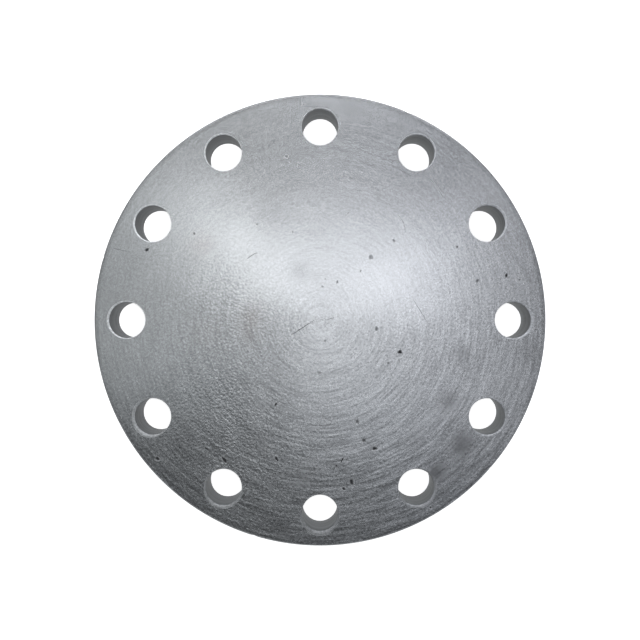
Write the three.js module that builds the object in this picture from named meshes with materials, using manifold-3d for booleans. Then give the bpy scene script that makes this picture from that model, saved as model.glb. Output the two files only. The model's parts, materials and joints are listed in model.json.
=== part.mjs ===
// Flat-faced blind flange, DN 200 PN 40: a solid disc with a ring of bolt holes.
// Millimetres, +Z up along the flange axis. The origin is the centre of the lower face.
import * as THREE from "three";
import { mergeVertices } from "three/addons/utils/BufferGeometryUtils.js";
import Module from "manifold-3d";

// Driving dimensions
const OUTSIDE_DIAMETER = 375;
const THICKNESS = 36;
const RIM_CHAMFER = 1;
const BOLT_CIRCLE_DIAMETER = 320;
const BOLT_HOLE_COUNT = 12;
const BOLT_HOLE_DIAMETER = 30;
const BOLT_HOLE_CHAMFER = 1.5;

// Facets round each circle: multiples of four, so that a vertex lies on each axis
const RIM_SEGMENTS = 144;
const BOLT_HOLE_SEGMENTS = 36;

// How far a cutter stands out of the face that it cuts through
const CUTTER_OVERRUN = 2;

const RIGHT_ANGLE = Math.PI / 2;
const FULL_TURN = 2 * Math.PI;

const MACHINED_STEEL = new THREE.MeshStandardMaterial({
  name: "machined_steel",
  color: 0x9fa1a3,
  roughness: 0.38,
  metalness: 1,
});

const wasm = await Module();
wasm.setup();

// A solid of revolution about Z from a profile of [radius, height] pairs that starts and ends on the axis.
function turned(profile, segments) {
  const points = profile.map(([radius, height]) => new THREE.Vector2(radius, height));
  return new THREE.LatheGeometry(points, segments).rotateX(RIGHT_ANGLE);
}

// The closed surface of a three.js geometry as a manifold-3d solid.
function toSolid(geometry) {
  const bare = geometry.clone();
  bare.deleteAttribute("normal");
  bare.deleteAttribute("uv");
  const merged = mergeVertices(bare);
  const surface = new wasm.Mesh({
    numProp: 3,
    vertProperties: merged.attributes.position.array,
    triVerts: new Uint32Array(merged.index.array),
  });
  return new wasm.Manifold(surface);
}

// A manifold-3d solid as a three.js geometry with flat shading.
function toGeometry(solid) {
  const surface = solid.getMesh();
  const shared = new THREE.BufferGeometry();
  shared.setAttribute("position", new THREE.BufferAttribute(surface.vertProperties, surface.numProp));
  shared.setIndex(new THREE.BufferAttribute(surface.triVerts, 1));
  const faceted = shared.toNonIndexed();
  faceted.computeVertexNormals();
  return faceted;
}

// The plain disc, with a small chamfer on both edges of its rim.
function discBlank() {
  const radius = OUTSIDE_DIAMETER / 2;
  const profile = [
    [0, 0],
    [radius - RIM_CHAMFER, 0],
    [radius, RIM_CHAMFER],
    [radius, THICKNESS - RIM_CHAMFER],
    [radius - RIM_CHAMFER, THICKNESS],
    [0, THICKNESS],
  ];
  return turned(profile, RIM_SEGMENTS);
}

// The space of one bolt hole, centred on Z: a drilled bore that a 45 degree chamfer opens at both faces.
function boltHoleCutter() {
  const radius = BOLT_HOLE_DIAMETER / 2;
  const mouthRadius = radius + BOLT_HOLE_CHAMFER + CUTTER_OVERRUN;
  const profile = [
    [0, -CUTTER_OVERRUN],
    [mouthRadius, -CUTTER_OVERRUN],
    [radius, BOLT_HOLE_CHAMFER],
    [radius, THICKNESS - BOLT_HOLE_CHAMFER],
    [mouthRadius, THICKNESS + CUTTER_OVERRUN],
    [0, THICKNESS + CUTTER_OVERRUN],
  ];
  return turned(profile, BOLT_HOLE_SEGMENTS);
}

// The disc with its ring of bolt holes, the first of them on +X.
function flangeDisc() {
  let solid = toSolid(discBlank());
  for (let hole = 0; hole < BOLT_HOLE_COUNT; hole++) {
    const cutter = boltHoleCutter();
    cutter.translate(BOLT_CIRCLE_DIAMETER / 2, 0, 0);
    cutter.rotateZ((hole * FULL_TURN) / BOLT_HOLE_COUNT);
    solid = solid.subtract(toSolid(cutter));
  }
  const mesh = new THREE.Mesh(toGeometry(solid), MACHINED_STEEL);
  mesh.name = "flange_disc";
  return mesh;
}

const blindFlange = new THREE.Group();
blindFlange.add(flangeDisc());

export default blindFlange;
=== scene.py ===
# Blind flange: one turned steel disc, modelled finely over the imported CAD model, in a plain studio.
import json
import math
import random
from collections import namedtuple

import bmesh
import bpy
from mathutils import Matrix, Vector
from mathutils.geometry import delaunay_2d_cdt


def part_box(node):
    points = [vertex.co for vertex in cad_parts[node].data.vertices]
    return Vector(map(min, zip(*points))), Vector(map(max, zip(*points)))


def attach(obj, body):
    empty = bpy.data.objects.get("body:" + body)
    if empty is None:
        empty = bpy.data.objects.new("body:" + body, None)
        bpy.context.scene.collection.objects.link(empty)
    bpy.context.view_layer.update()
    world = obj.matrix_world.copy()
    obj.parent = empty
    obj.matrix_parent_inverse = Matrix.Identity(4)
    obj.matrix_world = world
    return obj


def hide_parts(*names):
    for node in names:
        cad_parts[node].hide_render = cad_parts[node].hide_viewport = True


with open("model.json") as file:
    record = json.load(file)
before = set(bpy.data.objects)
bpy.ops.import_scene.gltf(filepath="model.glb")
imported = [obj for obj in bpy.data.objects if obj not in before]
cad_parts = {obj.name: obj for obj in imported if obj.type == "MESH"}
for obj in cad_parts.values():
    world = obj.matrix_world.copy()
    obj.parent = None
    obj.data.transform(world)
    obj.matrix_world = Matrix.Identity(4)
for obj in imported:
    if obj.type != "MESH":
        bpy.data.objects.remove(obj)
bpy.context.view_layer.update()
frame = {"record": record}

# ---------------------------------------------------------------- sizes
# Lengths are in millimetres, apart from the studio's, which are in metres.

MM = 0.001  # a millimetre in metres
FULL_TURN = 2 * math.pi
SEED = 20

# The disc's two material slots, in the order in which they are added at the end
FACE_MATERIAL = 0
BORE_MATERIAL = 1

low_corner, high_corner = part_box("flange_disc")
DISC_RADIUS = (high_corner[0] - low_corner[0]) / 2 / MM
THICKNESS = (high_corner[2] - low_corner[2]) / MM
HOLE_RADIUS = 15.0
hole_boxes = [opening["box_m"] for opening in frame["record"]["physics"]["openings"]]
HOLE_CENTRES = [((a[0] + b[0]) / 2 / MM, (a[1] + b[1]) / 2 / MM) for a, b in hole_boxes]

RIM_CHAMFER = 1.0
RIM_SOFTNESS = 0.25
RIM_STEPS = 480
RIM_WALL_RINGS = 9
RIM_DIRT = 0.5

# A hole's chamfer is widest towards the rim. On the upper face that widest place is narrower at the holes
# towards +Y and wider at those towards -Y, by the swing. Slope and softness are shares of the width.
HOLE_CHAMFER = 1.3
HOLE_CHAMFER_SWING = 0.6
HOLE_CHAMFER_SLOPE = 0.5
HOLE_CHAMFER_SOFTNESS = 0.35

# The width round a hole, as shares of its widest: its mean, its swing, its least, and its uneven waves
CHAMFER_MEAN = 0.55
CHAMFER_LEAN = 0.45
CHAMFER_LEAST = 0.15
CHAMFER_WAVES = (0.12, 0.1, 0.07, 0.05)

# How the widest place differs from hole to hole
UPPER_CHAMFER_SPREAD = (0.9, 1.1)
LOWER_CHAMFER_SPREAD = (0.7, 0.9)

HOLE_STEPS = 96
BORE_RINGS = 18
BORE_UNEVENNESS = 0.03

CORNER_STEPS = 4
HALF_CORNER = CORNER_STEPS // 2 + 1  # steps from the middle of an edge's last corner to the edge's end
FACE_GRID = 5.0
GRID_CLEARANCE = 0.4  # share of the grid's step, or of a smaller outline's reach

# Settings of delaunay_2d_cdt: triangles over the convex hull, and how close two points count as one
CONVEX_HULL = 0
SAME_POINT = 1e-5

# A hollow in a face: distance from the axis, clock angle in degrees, half length, half width, the angle of
# its long side from the radius in degrees, how far its ends bend aside, and how dark the dirt in it is, from
# 0 to 1. Less dirt also makes it shallower.
Mark = namedtuple("Mark", "distance clock half_length half_width lean bend dirt", defaults=(0.0, 1.0))

PITS = [
    Mark(71.5, 112, 1.7, 1.3, 20),
    Mark(67.2, 39, 1.6, 1.2, 40, dirt=0.5),
    Mark(116, 157, 1.8, 1.4, 60),
    Mark(137, 169, 2.4, 1.6, 0),
    Mark(141.5, 172, 1.5, 1.1, 30),
    Mark(159, 76.6, 1.4, 1.0, 80),
    Mark(134.6, 76, 1.2, 0.9, 10, dirt=0.7),
    Mark(155, 292, 1.4, 1.1, 50),
    Mark(140.7, 214.3, 3.0, 1.3, 68),
    Mark(47.5, 99, 1.3, 1.1, 90, dirt=0.6),
    Mark(90, 160, 1.4, 1.2, 0, dirt=0.8),
    Mark(106.5, 160, 1.5, 1.2, 20, dirt=0.9),
    Mark(117.5, 171, 2.4, 0.6, -34),
    Mark(121.7, 173.6, 1.1, 0.8, 40),
    Mark(79, 207.6, 1.3, 0.9, 0),
    Mark(177.3, 229.5, 1.9, 1.3, 90),
    Mark(180.5, 149.5, 0.9, 0.8, 0),
    Mark(17.9, 166, 0.9, 0.8, 0, dirt=0.4),
    Mark(43.7, 181, 1.8, 0.8, 80, dirt=0.5),
    Mark(90, 43, 1.1, 0.8, 90, dirt=0.5),
    Mark(34.7, 24.5, 1.0, 0.7, 0, dirt=0.4),
    Mark(27.9, 4, 0.8, 0.6, 60, dirt=0.3),
    Mark(52.7, 39.6, 0.8, 0.6, 0, dirt=0.3),
    Mark(129, 62, 0.9, 0.7, 30, dirt=0.6),
    Mark(169, 78.6, 0.9, 0.7, 0, dirt=0.6),
    Mark(67, 122.5, 0.9, 0.7, 0, dirt=0.6),
    Mark(121.4, 147.6, 0.9, 0.7, 45, dirt=0.7),
    Mark(120.8, 197.3, 2.2, 1.1, 50),
    Mark(138.4, 348.4, 1.3, 1.1, 40, dirt=0.7),
    Mark(128.7, 352, 1.0, 0.6, 20, dirt=0.6),
    Mark(120.4, 8.7, 0.8, 0.6, 0, dirt=0.4),
    Mark(126.7, 304.5, 0.9, 0.7, 0, dirt=0.4),
    Mark(95, 326.8, 0.8, 0.6, 70, dirt=0.3),
    Mark(76.5, 342.8, 0.8, 0.6, 0, dirt=0.3),
]
SCRATCHES = [
    Mark(16, 246, 12.0, 0.3, 9, dirt=0.6),
    Mark(9, 83, 3.5, 0.25, 8, dirt=0.25),
    Mark(78, 313.5, 5.5, 0.35, 74, bend=0.8, dirt=0.25),
    Mark(146.6, 41.6, 9.5, 0.45, 75, bend=0.6, dirt=0.35),
    Mark(83.7, 85, 11.0, 0.25, 117, dirt=0.3),
    Mark(106, 41, 8.0, 0.25, 61, bend=2.0, dirt=0.25),
    Mark(176, 289.3, 6.0, 0.3, 7, dirt=0.4),
]

# Small pits at random places: how many on each face, their sizes and dirt, and their gaps to everything else
STRAY_MARKS = 18
STRAY_HALF_LENGTH = (0.3, 0.5)
STRAY_ROUNDNESS = (0.6, 1)
STRAY_DIRT = (0.15, 0.5)
STRAY_GAP_TO_EDGE = 5
STRAY_GAP_TO_MARK = 4
STRAY_SPACING = 6

# A hollow's rings, from outside to inside: size as a share of its half width, and share of its dirt
MARK_STEPS = 24
MARK_RINGS = (1.9, 1.45, 1.1, 0.8, 0.5, 0.25)
MARK_DIRT = (0.0, 0.15, 0.5, 0.85, 1.0, 1.0)
MARK_DEPTH_SHARE = 0.35
MARK_WAVES = (0.0, 0.07, 0.09, 0.05)

# Stains on the upper face: distance from the axis, clock angle in degrees, reach, and strength at the
# middle, where anything above 1 counts as 1
RUST_STAINS = [
    (57, 272, 9, 0.8),
    (60, 258, 7, 0.6),
    (116, 302, 12, 0.5),
    (163, 272, 12, 0.4),
    (96, 262, 14, 0.3),
]
OIL_STAINS = [
    (121, 103.5, 7, 0.8),
    (127, 122, 9, 0.6),
    (156, 131, 9, 1.4),
    (159, 142.5, 7, 1.4),
    (127, 141.5, 8, 0.5),
    (168, 137, 9, 0.4),
    (176, 99, 8, 0.4),
    (132, 186, 12, 0.5),
    (112, 206, 12, 0.5),
    (146, 228, 14, 0.4),
    (176, 190, 10, 0.5),
    (98, 335, 16, 0.2),
    (44, 338, 7, 0.3),
]

# Knocks on the rim's upper edge: clock angle in degrees, half width, depth
RIM_KNOCKS = [(23, 1.6, 0.35), (131, 1.2, 0.3), (197, 2.2, 0.4), (286, 1.3, 0.3), (334, 1.0, 0.25)]
KNOCK_STEP = 0.4
KNOCK_REACH = 3.5  # in half widths


# ---------------------------------------------------------------- the disc's mesh

def clock_point(distance, clock):
    """The x, y of a point at a distance from the axis and a clock angle in degrees, 0 towards +Y."""
    turn = math.radians(clock)
    return distance * math.sin(turn), distance * math.cos(turn)


def soft_corner(before, corner, after):
    """A smooth turn from before to after, with corner as the control point of a quadratic curve."""
    points = []
    for step in range(CORNER_STEPS + 1):
        t = step / CORNER_STEPS
        weights = ((1 - t) ** 2, 2 * t * (1 - t), t ** 2)
        points.append(tuple(
            sum(w * p[axis] for w, p in zip(weights, (before, corner, after))) for axis in (0, 1)
        ))
    return points


def along(start, end, distance):
    """The point that lies a distance from start towards end, and never past the middle."""
    share = min(distance / math.dist(start, end), 0.5)
    return tuple(a + (b - a) * share for a, b in zip(start, end))


def broken_edge(width, depth, softness):
    """An edge's section from face to wall, as (distance into the material, depth below the face)."""
    top, bottom = (width, 0), (0, depth)
    section = [(width + 2 * softness, 0)]
    section += soft_corner((width + softness, 0), top, along(top, bottom, softness))
    section += soft_corner(along(bottom, top, softness), bottom, (0, depth + softness))
    section += [(0, depth + 2 * softness)]
    return section


def uneven(rng, swings):
    """A smooth closed curve about 0: a function of angle that sums one cosine for each swing."""
    waves = [(i + 1, size, rng.uniform(0, FULL_TURN)) for i, size in enumerate(swings)]
    return lambda angle: sum(size * math.cos(n * angle - phase) for n, size, phase in waves)


def new_ring(bm, points):
    return [bm.verts.new(Vector(point) * MM) for point in points]


def bridge(bm, ring, next_ring, material):
    """Joins two rings that have the same number of vertices with four-sided faces."""
    count = len(ring)
    for i in range(count):
        j = (i + 1) % count
        face = bm.faces.new((ring[i], ring[j], next_ring[j], next_ring[i]))
        face.material_index = material


def bridge_all(bm, rings, material_of):
    for i in range(len(rings) - 1):
        bridge(bm, rings[i], rings[i + 1], material_of(i))


def hole_rings(bm, bevel_layer, centre, rng):
    """One bolt hole's rings of vertices, from the upper face down to the lower one."""
    turns = [FULL_TURN * i / HOLE_STEPS for i in range(HOLE_STEPS)]
    towards_rim = math.atan2(centre[1], centre[0])
    shapes = [uneven(rng, CHAMFER_WAVES), uneven(rng, CHAMFER_WAVES)]
    widest = HOLE_CHAMFER - HOLE_CHAMFER_SWING * math.sin(towards_rim)
    upper_width = widest * rng.uniform(*UPPER_CHAMFER_SPREAD)
    lower_width = HOLE_CHAMFER * rng.uniform(*LOWER_CHAMFER_SPREAD)
    widths = [upper_width, lower_width]

    def section_at(side, turn):
        share = CHAMFER_MEAN + CHAMFER_LEAN * math.cos(turn - towards_rim) + shapes[side](turn)
        width = widths[side] * max(CHAMFER_LEAST, share)
        return broken_edge(width, width * HOLE_CHAMFER_SLOPE, width * HOLE_CHAMFER_SOFTNESS)

    def place(turn, offset, height):
        radius = HOLE_RADIUS + offset
        return (centre[0] + radius * math.cos(turn), centre[1] + radius * math.sin(turn), height)

    upper = [section_at(0, turn) for turn in turns]
    lower = [section_at(1, turn) for turn in turns]
    edge_count = len(upper[0])
    rings = []
    for j in range(edge_count):
        rings.append([place(t, s[j][0], THICKNESS - s[j][1]) for t, s in zip(turns, upper)])
    for j in range(1, BORE_RINGS):
        share = j / BORE_RINGS
        offset = rng.uniform(0, BORE_UNEVENNESS)
        ring = []
        for turn, above, below in zip(turns, upper, lower):
            top, bottom = THICKNESS - above[-1][1], below[-1][1]
            ring.append(place(turn, offset, top + (bottom - top) * share))
        rings.append(ring)
    for j in reversed(range(edge_count)):
        rings.append([place(t, s[j][0], s[j][1]) for t, s in zip(turns, lower)])
    made = [new_ring(bm, ring) for ring in rings]
    for ring in made[1:-1]:
        for vert in ring:
            vert[bevel_layer] = 1.0
    return made, edge_count


def rim_turns():
    """The angles of the rim's vertices: evenly spaced, and closer where the rim is knocked."""
    turns = {round(FULL_TURN * i / RIM_STEPS, 6) for i in range(RIM_STEPS)}
    for clock, half_width, _ in RIM_KNOCKS:
        middle = math.radians(90 - clock) % FULL_TURN
        reach = KNOCK_REACH * half_width / DISC_RADIUS
        turns = {t for t in turns if abs(t - middle) > reach}
        count = round(2 * reach * DISC_RADIUS / KNOCK_STEP)
        turns |= {round(middle + reach * (2 * i / count - 1), 6) for i in range(count + 1)}
    return sorted(turns)


def knock_at(turn, depth_below):
    """How far a knock has pushed in the rim at this angle and depth below the upper face."""
    inward = 0.0
    for clock, half_width, depth in RIM_KNOCKS:
        middle = math.radians(90 - clock) % FULL_TURN
        across = (turn - middle) * DISC_RADIUS / half_width
        down = depth_below / (2 * half_width)
        inward += depth * math.exp(-across * across - down * down)
    return inward


def rim_rings(bm, dirt_layer):
    """The rim's rings of vertices, from the upper face down to the lower one."""
    turns = rim_turns()
    section = [(s, THICKNESS - d) for s, d in broken_edge(RIM_CHAMFER, RIM_CHAMFER, RIM_SOFTNESS)]
    top, bottom = section[-1][1], THICKNESS - section[-1][1]
    wall = [(0, top + (bottom - top) * j / RIM_WALL_RINGS) for j in range(1, RIM_WALL_RINGS)]
    mirrored = [(s, THICKNESS - height) for s, height in reversed(section)]
    rings = []
    for inset, height in section + wall + mirrored:
        ring = []
        for turn in turns:
            radius = DISC_RADIUS - inset - knock_at(turn, THICKNESS - height)
            ring.append((radius * math.cos(turn), radius * math.sin(turn), height))
        made = new_ring(bm, ring)
        for vert in made:
            vert[dirt_layer] = RIM_DIRT if 0 < inset <= RIM_CHAMFER + RIM_SOFTNESS else 0.0
        rings.append(made)
    return rings


def mark_rings(bm, dirt_layer, mark, height, inwards, rng):
    """A hollow's rings on a face, the outermost lying in the face. inwards is -1 on the upper face."""
    x, y = clock_point(mark.distance, mark.clock)
    shape = uneven(rng, MARK_WAVES)
    direction = math.radians(90 - mark.clock + mark.lean)
    depth = MARK_DEPTH_SHARE * mark.half_width * mark.dirt ** 2
    rings = []
    for share, cover in zip(MARK_RINGS, MARK_DIRT):
        half_length = mark.half_length - mark.half_width * (1 - share)
        fall = max(0.0, 1 - share * share) ** 0.5
        ring = []
        for i in range(MARK_STEPS):
            turn = FULL_TURN * i / MARK_STEPS
            swell = 1 + shape(turn)
            a = swell * half_length * math.cos(turn)
            b = swell * mark.half_width * share * math.sin(turn) + mark.bend * (a / mark.half_length) ** 2
            ring.append((
                x + a * math.cos(direction) - b * math.sin(direction),
                y + a * math.sin(direction) + b * math.cos(direction),
                height + inwards * depth * fall,
            ))
        made = new_ring(bm, ring)
        for vert in made:
            vert[dirt_layer] = mark.dirt * cover
        rings.append(made)
    bridge_all(bm, rings, lambda i: FACE_MATERIAL)
    close_across(bm, rings[-1])
    return rings[0]


def close_across(bm, ring):
    """Fills a long, narrow ring from one end to the other with faces that run across it."""
    count = len(ring)
    bm.faces.new((ring[0], ring[1], ring[-1]))
    for i in range(1, count // 2 - 1):
        bm.faces.new((ring[i], ring[i + 1], ring[count - i - 1], ring[count - i]))
    bm.faces.new((ring[count // 2 - 1], ring[count // 2], ring[count // 2 + 1]))


def stray_marks(rng):
    """Small pits at random places that are clear of the holes, the rim and the listed marks."""
    taken = [(centre, HOLE_RADIUS + STRAY_GAP_TO_EDGE) for centre in HOLE_CENTRES]
    for mark in PITS + SCRATCHES:
        taken.append((clock_point(mark.distance, mark.clock), mark.half_length + STRAY_GAP_TO_MARK))
    marks = []
    while len(marks) < STRAY_MARKS:
        distance, clock = DISC_RADIUS * math.sqrt(rng.random()), rng.uniform(0, 360)
        point = clock_point(distance, clock)
        half_length = rng.uniform(*STRAY_HALF_LENGTH)
        crowded = any(math.dist(point, place) < gap for place, gap in taken)
        if crowded or distance > DISC_RADIUS - STRAY_GAP_TO_EDGE:
            continue
        taken.append((point, STRAY_SPACING))
        half_width = half_length * rng.uniform(*STRAY_ROUNDNESS)
        lean = rng.uniform(0, 180)
        marks.append(Mark(distance, clock, half_length, half_width, lean, dirt=rng.uniform(*STRAY_DIRT)))
    return marks


def stain_at(x, y, stains):
    """How strongly the stains mark a place on the face, from 0 to 1."""
    total = 0.0
    for distance, clock, reach, strength in stains:
        gap = math.dist((x, y), clock_point(distance, clock)) / reach
        total += strength * math.exp(-gap * gap)
    return min(total, 1.0)


def inside(point, outline):
    """True if a point lies inside a closed outline, by counting the crossings to its right."""
    x, y = point
    crossings = 0
    for (x1, y1), (x2, y2) in zip(outline, outline[1:] + outline[:1]):
        if (y1 > y) != (y2 > y) and x < x1 + (y - y1) / (y2 - y1) * (x2 - x1):
            crossings += 1
    return crossings % 2 == 1


def face_grid(keep_clear):
    """Points on circles about the axis, a grid step apart, away from the outlines in keep_clear."""
    points = []
    for k in range(1, int(DISC_RADIUS / FACE_GRID) + 1):
        radius = k * FACE_GRID
        if radius > DISC_RADIUS - RIM_CHAMFER - FACE_GRID / 2:
            break
        count = max(6, round(FULL_TURN * k))
        for i in range(count):
            turn = FULL_TURN * (i + (k % 2) / 2) / count
            point = (radius * math.cos(turn), radius * math.sin(turn))
            if all(math.dist(point, centre) > gap for centre, gap in keep_clear):
                points.append(point)
    return points


def outline_of(ring):
    """The x and y of a ring's vertices, in millimetres."""
    return [(vert.co.x / MM, vert.co.y / MM) for vert in ring]


def clear_circle(outline):
    """The circle round an outline that the grid's points stay out of, as (centre, radius)."""
    centre = tuple(sum(point[axis] for point in outline) / len(outline) for axis in (0, 1))
    reach = max(math.dist(point, centre) for point in outline)
    return centre, reach + GRID_CLEARANCE * min(FACE_GRID, reach)


def fill_face(bm, height, outer, inner_loops):
    """Fills a flat face between its outer ring and the rings of its holes and marks.

    The triangles cover the outer ring's convex hull, so they also bridge the dent of each knock in the rim.
    """
    verts, edges, loop_of = [], [], {}
    for number, ring in enumerate([outer] + inner_loops):
        first = len(verts)
        for i in range(len(ring)):
            loop_of[first + i] = number
            edges.append((first + i, first + (i + 1) % len(ring)))
        verts += ring
    flat = outline_of(verts)
    outlines = [outline_of(ring) for ring in inner_loops]
    grid = face_grid([clear_circle(outline) for outline in outlines])
    verts += [bm.verts.new(Vector((x, y, height)) * MM) for x, y in grid]
    points, _, triangles, origins, _, _ = delaunay_2d_cdt(
        [Vector(p) for p in flat + grid], edges, [], CONVEX_HULL, SAME_POINT
    )
    for triangle in triangles:
        corners = [origins[i][0] for i in triangle]
        numbers = {loop_of.get(i) for i in corners}
        if len(numbers) == 1 and None not in numbers and 0 not in numbers:
            middle = tuple(sum(points[i][axis] for i in triangle) / 3 for axis in (0, 1))
            if inside(middle, outlines[numbers.pop() - 1]):
                continue
        bm.faces.new([verts[i] for i in corners])


def build_disc():
    """The whole disc as one mesh, closed apart from the faces that bridge the rim's knocks."""
    rng = random.Random(SEED)
    bm = bmesh.new()
    dirt_layer = bm.verts.layers.float.new("dirt")
    bevel_layer = bm.verts.layers.float.new("bevel")
    rust_layer = bm.verts.layers.float.new("rust")
    oil_layer = bm.verts.layers.float.new("oil")
    upper_loops, lower_loops = [], []
    for centre in HOLE_CENTRES:
        rings, edge_count = hole_rings(bm, bevel_layer, centre, rng)
        first = edge_count - 1 - HALF_CORNER
        end = len(rings) - edge_count + HALF_CORNER
        bridge_all(bm, rings, lambda i: BORE_MATERIAL if first <= i < end else FACE_MATERIAL)
        upper_loops.append(rings[0])
        lower_loops.append(rings[-1])
    rim = rim_rings(bm, dirt_layer)
    bridge_all(bm, rim, lambda i: FACE_MATERIAL)
    for mark in PITS + SCRATCHES + stray_marks(rng):
        upper_loops.append(mark_rings(bm, dirt_layer, mark, THICKNESS, -1, rng))
    for mark in stray_marks(rng):
        lower_loops.append(mark_rings(bm, dirt_layer, mark, 0, 1, rng))
    fill_face(bm, THICKNESS, rim[0], upper_loops)
    fill_face(bm, 0, rim[-1], lower_loops)
    for vert in bm.verts:
        x, y, z = vert.co / MM
        if z > THICKNESS / 2:
            vert[rust_layer] = stain_at(x, y, RUST_STAINS)
            vert[oil_layer] = stain_at(x, y, OIL_STAINS)
    bmesh.ops.recalc_face_normals(bm, faces=bm.faces)
    for face in bm.faces:
        face.smooth = True
    mesh = bpy.data.meshes.new("turned_disc")
    bm.to_mesh(mesh)
    bm.free()
    return mesh


# ---------------------------------------------------------------- materials
# A ramp is four numbers: from where to where it runs, in millimetres or in a noise's own 0 to 1, and its
# value at each of those two ends. Past them it is held. Its comment says what it is measured along.

# Two directions across the face: down and a little to the right, and up and to the left, towards which the
# bevels' painted light grows
COARSE_WAY = (0.3, -0.95)
PAINTED_LIGHT_WAY = (-0.87, 0.5)

# Noise drawn out along the tool marks: length and width of its streaks, and its detail
LONG_GROOVES = (60, 5.0, 3.0)
SHORT_GROOVES = (14, 3.0, 1.0)
RIPPLE = (2.2, 2.8, 1.0)
FINE_LINES = (24, 2.0, 1.0)
FINE_DOTS = (1.8, 2.1, 1.0)

# Noise in blotches: size and detail
PATCHES = (30, 3.0)
MOTTLING = (1.6, 2.0)

# Depths of the tool marks
LONG_GROOVE_DEPTH = 0.10
SHORT_GROOVE_DEPTH = 0.035
RIPPLE_DEPTH = 0.05

# Ramps that change those depths: along COARSE_WAY, along x, away from a band where x is RIPPLE_BAND_X, and
# outwards from the axis
GROOVES_THAT_WAY = (-20, 110, 0.03, 1.4)
GROOVES_ACROSS = (-80, 40, 0.6, 1.0)
RIPPLE_THAT_WAY = (-110, 60, 0.1, 1.6)
RIPPLE_BAND_X = -75
RIPPLE_FROM_BAND = (0, 70, 2.1, 0.65)
DEPTHS_OUTWARDS = (15, 110, 0.45, 1.2)

# The grain is a mix of lines and dots. Ramps of the lines' share along COARSE_WAY, of both shares together
# along x, of the strength along COARSE_WAY, and of the mixed noise itself
LINES_IN_GRAIN = (-80, 100, 0.28, 0.5)
LINES_AND_DOTS = (-80, 40, 1.0, 1.05)
GRAIN_STRENGTH = (-60, 70, 0.9, 2.5)
GRAIN_OF_NOISE = (0.3, 0.7, -1, 1)
GRAIN_IN_COLOUR = 0.09
GRAIN_IN_ROUGHNESS = 0.015

# The rim's wall, as ramps outwards and upwards, its shade, and how much grain it has
RIM_WALL_OUTWARDS = (DISC_RADIUS - 1, DISC_RADIUS, 0, 1)
RIM_WALL_UPWARDS = (THICKNESS - 2, THICKNESS - 1, 1, 0)
RIM_WALL_SHADE = 0.3
RIM_WALL_GRAIN = 0.6

# Greys of the face, with ramps of the patches and of the grime near the rim
FACE_GREY = 0.62
GREY_OF_PATCHES = (0.3, 0.7, -0.02, 0.02)
EDGE_GRIME = (DISC_RADIUS - 5, DISC_RADIUS - 1, 0, 0.24)
GRIME_OF_PATCHES = (0.35, 0.65, 0.6, 1.2)

# Ramps of the bevels' grey: painted light and shade by the distance from the Y axis, along the way up and to
# the left, and along y; and a ramp of the mottling
BEVEL_PAINTED_LIGHT_SIDEWAYS = (60, 150, 0.44, 0.57)
BEVEL_PAINTED_LIGHT_THAT_WAY = (90, 150, 0.94, 1.4)
BEVEL_PAINTED_LIGHT_UPWARDS = (-160, 60, 0.68, 0.97)
BEVEL_GREY_OF_MOTTLING = (0.35, 0.65, 0.75, 1.2)

# The steel's red and blue as shares of its grey, the blue as a ramp along x
FACE_RED = 0.981
BLUE_ACROSS = (-60, 100, 1.005, 1.04)

# Colours of the stains, and how much they cover, as ramps of the patches
RUST_COLOUR = (0.36, 0.29, 0.26, 1)
RUST_OF_PATCHES = (0.35, 0.6, 0.1, 0.35)
OIL_COLOUR = (0.2, 0.2, 0.21, 1)
OIL_OF_PATCHES = (0.35, 0.6, 0.35, 0.75)
DIRT_COLOUR = (0.03, 0.03, 0.032, 1)

FACE_ROUGHNESS = 0.25
BEVEL_ROUGHNESS = 0.65
DIRT_IN_ROUGHNESS = 0.4
OIL_IN_ROUGHNESS = 0.1
BEVEL_METALLIC = 0.6
DIRT_IN_METALLIC = 0.6
FACE_ANISOTROPY = 0.6
QUARTER_TURN = 0.25

# The bores: two noises, each with its size square to the hole, its size along it and its detail, and its
# depth. Then the wall's grey, as ramps of the coarse noise and along y, the ramp along y being painted light
# and shade that makes the walls lighter towards -Y and darker towards +Y, and the rest of its looks
BORE_COARSE = (50, 3.0, 2.0)
BORE_COARSE_DEPTH = 0.05
BORE_FINE = (20, 0.5, 1.0)
BORE_FINE_DEPTH = 0.02
BORE_GREY_OF_NOISE = (0.35, 0.65, 0.12, 0.184)
BORE_PAINTED_LIGHT_UPWARDS = (-120, 120, 1.03, 0.93)
BORE_RED = 0.94
BORE_BLUE = 1.04
BORE_METALLIC = 0.8
BORE_ROUGHNESS = 0.6


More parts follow.
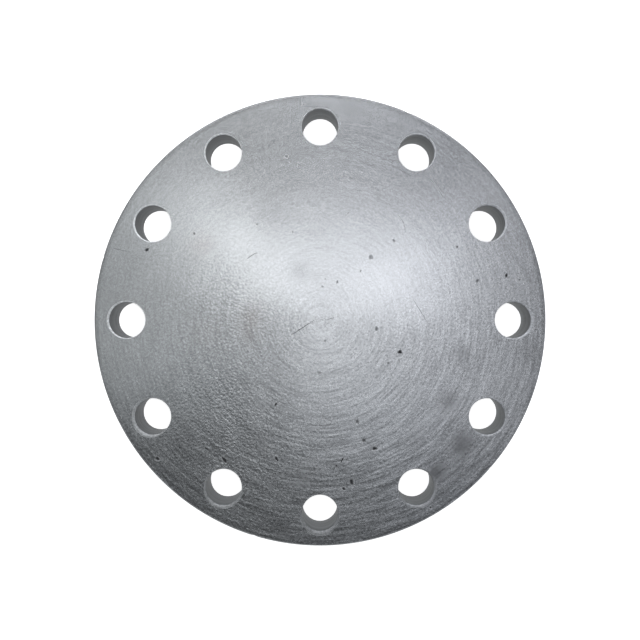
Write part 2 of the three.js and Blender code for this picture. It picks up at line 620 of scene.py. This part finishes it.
class Graph:
    """A material's nodes, with short ways to add and join them."""

    def __init__(self, name):
        self.material = bpy.data.materials.new(name)
        self.material.use_nodes = True
        self.tree = self.material.node_tree
        self.tree.nodes.clear()

    def add(self, kind, inputs=None, **settings):
        node = self.tree.nodes.new("ShaderNode" + kind)
        for key, value in settings.items():
            setattr(node, key, value)
        for key, value in (inputs or {}).items():
            self.feed(node.inputs[key], value)
        return node

    def feed(self, socket, value):
        if isinstance(value, bpy.types.NodeSocket):
            self.tree.links.new(value, socket)
        else:
            socket.default_value = value

    def millimetres(self):
        """The x, y and z of the shaded point in the object's own frame, in millimetres."""
        position = self.add("TexCoord").outputs["Object"]
        in_mm = self.add("VectorMath", {0: position, 1: (1 / MM, 1 / MM, 1 / MM)}, operation="MULTIPLY")
        return self.add("SeparateXYZ", {"Vector": in_mm.outputs[0]}).outputs[:3]

    def attribute(self, name):
        return self.add("Attribute", attribute_name=name).outputs["Fac"]

    def maths(self, operation, *values):
        node = self.add("Math", operation=operation)
        for socket, value in zip(node.inputs, values):
            self.feed(socket, value)
        return node.outputs[0]

    def sum_of(self, *values):
        total = values[0]
        for value in values[1:]:
            total = self.maths("ADD", total, value)
        return total

    def product(self, *values):
        total = values[0]
        for value in values[1:]:
            total = self.maths("MULTIPLY", total, value)
        return total

    def less(self, value, taken):
        return self.maths("SUBTRACT", value, taken)

    def vector(self, x, y, z):
        return self.add("CombineXYZ", {"X": x, "Y": y, "Z": z}).outputs[0]

    def noise(self, vector, detail):
        settings = {"Vector": vector, "Scale": 1.0, "Detail": detail, "Roughness": 0.5}
        return self.add("TexNoise", settings).outputs["Fac"]

    def ramp(self, value, low, high, to_low, to_high):
        """value mapped from low..high to to_low..to_high, and held at the ends."""
        node = self.add("MapRange", {
            "Value": value, "From Min": low, "From Max": high, "To Min": to_low, "To Max": to_high,
        })
        return node.outputs[0]

    def colour(self, grey, red, blue):
        """A grey with its red and its blue scaled."""
        channels = {"Red": self.product(grey, red), "Green": grey, "Blue": self.product(grey, blue)}
        return self.add("CombineColor", channels).outputs[0]

    def mix_colours(self, share, first, second):
        node = self.add("Mix", {"Factor": share}, data_type="RGBA")
        self.feed(node.inputs[6], first)
        self.feed(node.inputs[7], second)
        return node.outputs[2]

    def bump(self, height):
        """The normal over a height in millimetres."""
        return self.add("Bump", {"Strength": 1.0, "Distance": MM, "Height": height}).outputs[0]

    def finish(self, surface):
        output = self.add("OutputMaterial")
        self.tree.links.new(surface, output.inputs["Surface"])
        return self.material


# Where the shaded point is: its coordinates, its distance from the axis, how far it lies along COARSE_WAY,
# how much it is part of the bevels, of the rest and of the rim's wall, and the patches' noise there
Place = namedtuple("Place", "x y z radius towards_coarse bevel face rim_wall patches")


def place_on_disc(g):
    x, y, z = g.millimetres()
    radius = g.maths("SQRT", g.sum_of(g.product(x, x), g.product(y, y)))
    towards_coarse = distance_along(g, x, y, COARSE_WAY)
    bevel = g.attribute("bevel")
    face = g.less(1.0, bevel)
    rim_wall = g.product(g.ramp(radius, *RIM_WALL_OUTWARDS), g.ramp(z, *RIM_WALL_UPWARDS))
    return Place(x, y, z, radius, towards_coarse, bevel, face, rim_wall, blotches(g, x, y, z, *PATCHES))


def distance_along(g, x, y, way):
    return g.sum_of(g.product(x, way[0]), g.product(y, way[1]))


def blotches(g, x, y, z, size, detail):
    """Noise in blotches of about this size."""
    return g.noise(g.vector(g.product(x, 1 / size), g.product(y, 1 / size), z), detail)


def streaks(g, at, length, width, detail):
    """Noise drawn out along the tool marks, in streaks of about this length and width."""
    across = g.sum_of(at.radius, at.z)
    place = g.vector(g.product(at.x, 1 / length), g.product(at.y, 1 / length), g.product(across, 1 / width))
    return g.noise(place, detail)


def tool_marks(g, at):
    """The height of the lathe's grooves and of the ripple between them."""
    long_grooves = g.product(streaks(g, at, *LONG_GROOVES), LONG_GROOVE_DEPTH)
    short_grooves = g.product(streaks(g, at, *SHORT_GROOVES), SHORT_GROOVE_DEPTH)
    ripple = g.product(streaks(g, at, *RIPPLE), RIPPLE_DEPTH)
    from_band = g.maths("ABSOLUTE", g.less(at.x, RIPPLE_BAND_X))
    groove_share = g.product(g.ramp(at.towards_coarse, *GROOVES_THAT_WAY), g.ramp(at.x, *GROOVES_ACROSS))
    ripple_share = g.product(
        g.ramp(at.towards_coarse, *RIPPLE_THAT_WAY), g.ramp(from_band, *RIPPLE_FROM_BAND)
    )
    height = g.sum_of(
        g.product(g.sum_of(long_grooves, short_grooves), groove_share), g.product(ripple, ripple_share)
    )
    return g.product(height, g.ramp(at.radius, *DEPTHS_OUTWARDS))


def fine_grain(g, at):
    """Fine lines and dots, about 0, and none on the bevels."""
    line_share = g.ramp(at.towards_coarse, *LINES_IN_GRAIN)
    dot_share = g.less(g.ramp(at.x, *LINES_AND_DOTS), line_share)
    mixed = g.sum_of(
        g.product(streaks(g, at, *FINE_LINES), line_share), g.product(streaks(g, at, *FINE_DOTS), dot_share)
    )
    return g.product(
        g.ramp(mixed, *GRAIN_OF_NOISE),
        at.face,
        g.ramp(at.towards_coarse, *GRAIN_STRENGTH),
        g.ramp(at.rim_wall, 0, 1, 1, RIM_WALL_GRAIN),
    )


# Painted light and shade: the bevels are lighter away from the Y axis, up and to the left, and upwards, with
# their own mottling on top
def bevel_grey_and_painted_light(g, at):
    painted_light_way = distance_along(g, at.x, at.y, PAINTED_LIGHT_WAY)
    mottling = blotches(g, at.x, at.y, at.z, *MOTTLING)
    return g.product(
        g.ramp(g.maths("ABSOLUTE", at.x), *BEVEL_PAINTED_LIGHT_SIDEWAYS),
        g.ramp(painted_light_way, *BEVEL_PAINTED_LIGHT_THAT_WAY),
        g.ramp(at.y, *BEVEL_PAINTED_LIGHT_UPWARDS),
        g.ramp(mottling, *BEVEL_GREY_OF_MOTTLING),
    )


def steel_grey(g, at, grain):
    """The grey of the clean steel, with its grain, its patches, the grime near the rim and the painted light
    and shade on the bevels.
    """
    grey_with_bevel_light = g.sum_of(g.product(at.face, FACE_GREY), g.product(at.bevel, bevel_grey_and_painted_light(g, at)))
    grime = g.product(g.ramp(at.radius, *EDGE_GRIME), g.ramp(at.patches, *GRIME_OF_PATCHES))
    return g.product(
        g.less(1.0, grime),
        g.sum_of(grey_with_bevel_light, g.product(grain, GRAIN_IN_COLOUR), g.ramp(at.patches, *GREY_OF_PATCHES)),
        g.ramp(at.rim_wall, 0, 1, 1, 1 - RIM_WALL_SHADE),
    )


def turned_steel():
    """Steel faced on a lathe: grooves round the axis, a fine ripple, dirty pits and faint stains."""
    g = Graph("turned_steel")
    at = place_on_disc(g)
    grain = fine_grain(g, at)
    clean = g.colour(steel_grey(g, at, grain), FACE_RED, g.ramp(at.x, *BLUE_ACROSS))
    rust = g.product(g.attribute("rust"), g.ramp(at.patches, *RUST_OF_PATCHES))
    oil = g.product(g.attribute("oil"), g.ramp(at.patches, *OIL_OF_PATCHES))
    dirt = g.attribute("dirt")
    rusted = g.mix_colours(rust, clean, RUST_COLOUR)
    oiled = g.mix_colours(oil, rusted, OIL_COLOUR)
    roughness = g.sum_of(
        FACE_ROUGHNESS,
        g.product(grain, GRAIN_IN_ROUGHNESS),
        g.product(at.bevel, BEVEL_ROUGHNESS - FACE_ROUGHNESS),
        g.product(dirt, DIRT_IN_ROUGHNESS),
        g.product(oil, OIL_IN_ROUGHNESS),
    )
    steel = g.add("BsdfPrincipled", {
        "Base Color": g.mix_colours(dirt, oiled, DIRT_COLOUR),
        "Metallic": g.less(g.ramp(at.bevel, 0, 1, 1.0, BEVEL_METALLIC), g.product(dirt, DIRT_IN_METALLIC)),
        "Roughness": roughness,
        "Anisotropic": g.product(at.face, FACE_ANISOTROPY),
        "Anisotropic Rotation": QUARTER_TURN,
        "Tangent": g.add("Tangent", direction_type="RADIAL", axis="Z").outputs[0],
        "Normal": g.bump(tool_marks(g, at)),
    })
    return g.finish(steel.outputs[0])


def drilled_steel():
    """The wall of a drilled hole: duller and darker, with marks round the hole, and painted light and shade
    that make it lighter towards -Y and darker towards +Y.
    """
    g = Graph("drilled_steel")
    x, y, z = g.millimetres()

    def marks(size, along_hole, detail):
        place = g.vector(g.product(x, 1 / size), g.product(y, 1 / size), g.product(z, 1 / along_hole))
        return g.noise(place, detail)

    coarse = marks(*BORE_COARSE)
    height = g.sum_of(g.product(coarse, BORE_COARSE_DEPTH), g.product(marks(*BORE_FINE), BORE_FINE_DEPTH))
    # Painted light and shade: the walls are lighter towards -Y and darker towards +Y
    grey = g.product(g.ramp(coarse, *BORE_GREY_OF_NOISE), g.ramp(y, *BORE_PAINTED_LIGHT_UPWARDS))
    steel = g.add("BsdfPrincipled", {
        "Base Color": g.colour(grey, BORE_RED, BORE_BLUE),
        "Metallic": BORE_METALLIC,
        "Roughness": BORE_ROUGHNESS,
        "Normal": g.bump(height),
    })
    return g.finish(steel.outputs[0])


# ---------------------------------------------------------------- the studio

FLOOR_HALF = 6.0
FLOOR_COLOUR = (0.9, 0.9, 0.9, 1)
FLOOR_ROUGHNESS = 0.9
FLOOR_GLOW = 0.95

AIR_COLOUR = (0.92, 0.96, 1.0, 1)

# The air's glow, as a ramp by the sine of the angle above the horizon
AIR_GLOW = (0.3, 0.75, 0.9, 0.055)

CAMERA_HEIGHT = 0.6895  # above the upper face
LENS_MM = 46.75
SENSOR_MM = 36.0

PALE = (0.95, 0.966, 1.0)
COOL = (0.94, 0.98, 1.0)
BLUE = (0.85, 0.92, 1.0)
DOME_RADIUS = 1.1

# Soft boxes on a dome about the upper face's middle: name, tilt from the axis and clock angle in degrees,
# width and height in metres, watts, colour
SOFT_BOXES = [
    ("right_box", 12, 90, 0.52, 0.57, 0.38, PALE),
    ("top_strip", 5.3, 8, 0.45, 0.15, 0.48, PALE),
    ("upper_strip", 45, 0, 1.34, 0.2, 10, PALE),
    ("lower_strip", 9, 196, 0.65, 0.15, 0.07, BLUE),
    ("left_box", 22, 282, 0.51, 0.41, 0.28, COOL),
    ("upper_left_box", 17, 312, 0.15, 0.22, 0.075, PALE),
    ("upper_right_box", 28, 50, 0.15, 0.2, 0.045, PALE),
]


def make_floor():
    mesh = bpy.data.meshes.new("studio_floor")
    bm = bmesh.new()
    corners = [(-1, -1), (1, -1), (1, 1), (-1, 1)]
    bm.faces.new([bm.verts.new((x * FLOOR_HALF, y * FLOOR_HALF, low_corner[2])) for x, y in corners])
    bm.to_mesh(mesh)
    bm.free()
    floor = bpy.data.objects.new("studio_floor", mesh)
    bpy.context.scene.collection.objects.link(floor)
    g = Graph("studio_floor")
    paint = g.add("BsdfPrincipled", {
        "Base Color": FLOOR_COLOUR, "Roughness": FLOOR_ROUGHNESS,
        "Emission Color": (1, 1, 1, 1), "Emission Strength": FLOOR_GLOW,
    })
    mesh.materials.append(g.finish(paint.outputs[0]))


def soft_box(name, tilt, clock, width, height, power, colour):
    """An area light on the dome, facing the middle of the upper face, with its width square to the axis."""
    data = bpy.data.lights.new(name, "AREA")
    data.shape = "RECTANGLE"
    data.size, data.size_y = width, height
    data.energy = power
    data.color = colour
    light = bpy.data.objects.new(name, data)
    x, y = clock_point(DOME_RADIUS * math.sin(math.radians(tilt)), clock)
    from_face = Vector((x, y, DOME_RADIUS * math.cos(math.radians(tilt))))
    light.location = from_face + Vector((0, 0, high_corner[2]))
    light.rotation_euler = (-from_face).to_track_quat("-Z", "Y").to_euler()
    light.visible_camera = False
    bpy.context.scene.collection.objects.link(light)


def make_lights():
    for settings in SOFT_BOXES:
        soft_box(*settings)


def make_world():
    """Pale air all round near the floor, and dim air overhead."""
    world = bpy.data.worlds.new("studio_air")
    world.use_nodes = True
    nodes, links = world.node_tree.nodes, world.node_tree.links
    direction = nodes.new("ShaderNodeTexCoord")
    parts = nodes.new("ShaderNodeSeparateXYZ")
    glow = nodes.new("ShaderNodeMapRange")
    for name, value in zip(("From Min", "From Max", "To Min", "To Max"), AIR_GLOW):
        glow.inputs[name].default_value = value
    links.new(direction.outputs["Generated"], parts.inputs[0])
    links.new(parts.outputs["Z"], glow.inputs["Value"])
    links.new(glow.outputs[0], nodes["Background"].inputs["Strength"])
    nodes["Background"].inputs["Color"].default_value = AIR_COLOUR
    bpy.context.scene.world = world


def make_camera():
    """Square on to the turned face, over the middle of the disc, with the disc's +Y up in the picture."""
    data = bpy.data.cameras.new("camera")
    data.sensor_width = SENSOR_MM
    data.lens = LENS_MM
    camera = bpy.data.objects.new("camera", data)
    camera.location = (0, 0, high_corner[2] + CAMERA_HEIGHT)
    bpy.context.scene.collection.objects.link(camera)
    bpy.context.scene.camera = camera


make_camera()
make_world()
make_lights()
make_floor()

disc_mesh = build_disc()
disc_mesh.materials.append(turned_steel())
disc_mesh.materials.append(drilled_steel())
disc = bpy.data.objects.new("turned_disc", disc_mesh)
bpy.context.scene.collection.objects.link(disc)
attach(disc, "root")
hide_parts("flange_disc")

bpy.context.scene.view_settings.view_transform = "Standard"
